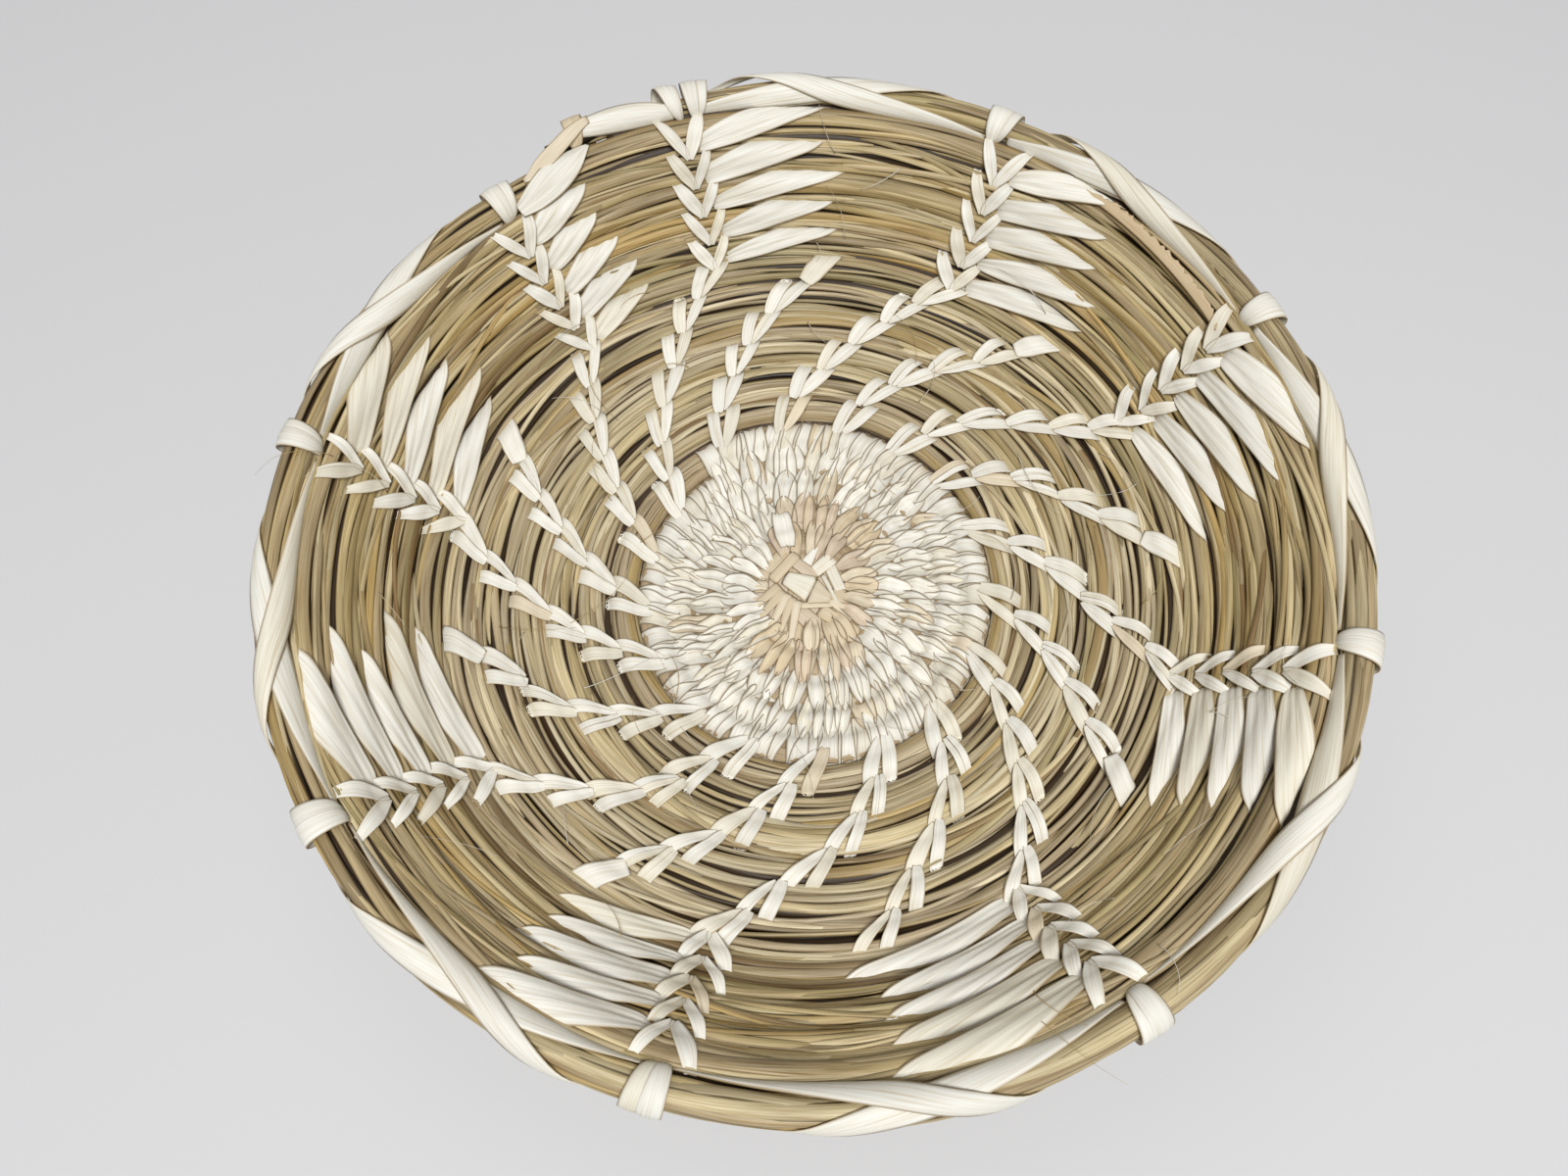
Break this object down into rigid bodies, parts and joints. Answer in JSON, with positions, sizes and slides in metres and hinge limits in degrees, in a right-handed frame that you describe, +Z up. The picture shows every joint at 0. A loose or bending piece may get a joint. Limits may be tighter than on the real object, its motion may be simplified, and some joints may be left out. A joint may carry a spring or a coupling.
{
  "type": "coiled basket",
  "caption": "Shallow round coiled basket: a spiral bundle of grass stems sewn with pale leaf strips in open leaning rows, with a wrapped disc at its centre and a laced rim.",
  "frame": {"origin": "middle of the round base, on the plane the basket rests on", "axes": "+Z up, out of the basket's mouth; the coil's rows of close stitching end 130 degrees counter-clockwise from +X, and -Y is the side nearest the viewer"},
  "size_m": [0.2255, 0.2281, 0.0489],
  "materials": {
    "grass_stems": "dry grass stems, straw to olive tan, matt with a faint waxy sheen",
    "leaf_strip": "split bleached leaf, cream white, fine lengthwise grain, low sheen",
    "aged_leaf": "plaited tan and cream leaf strips, lengthwise grain, low sheen"
  },
  "bodies": {
    "root": {"start_knot": "aged_leaf", "grass_bundle": "grass_stems", "close_stitching": "leaf_strip", "long_row_1": "leaf_strip", "long_row_2": "leaf_strip", "long_row_3": "leaf_strip", "long_row_4": "leaf_strip", "long_row_5": "leaf_strip", "long_row_6": "leaf_strip", "long_row_7": "leaf_strip", "long_row_8": "leaf_strip", "long_row_9": "leaf_strip", "short_row_1": "leaf_strip", "short_row_2": "leaf_strip", "short_row_3": "leaf_strip", "short_row_4": "leaf_strip", "short_row_5": "leaf_strip", "short_row_6": "leaf_strip", "short_row_7": "leaf_strip", "short_row_8": "leaf_strip", "rim_leaf_2": "leaf_strip", "rim_leaf_3": "leaf_strip", "rim_leaf_4": "leaf_strip", "rim_leaf_5": "leaf_strip", "rim_leaf_6": "leaf_strip", "rim_leaf_7": "leaf_strip", "rim_leaf_8": "leaf_strip", "rim_leaf_9": "leaf_strip", "rim_lace_2": "leaf_strip", "rim_lace_3": "leaf_strip", "rim_lace_4": "leaf_strip", "rim_lace_5": "leaf_strip", "rim_lace_6": "leaf_strip", "rim_lace_7": "leaf_strip", "rim_lace_8": "leaf_strip", "rim_lace_9": "leaf_strip", "rim_end_binding": "leaf_strip"}
  },
  "joints": []
}
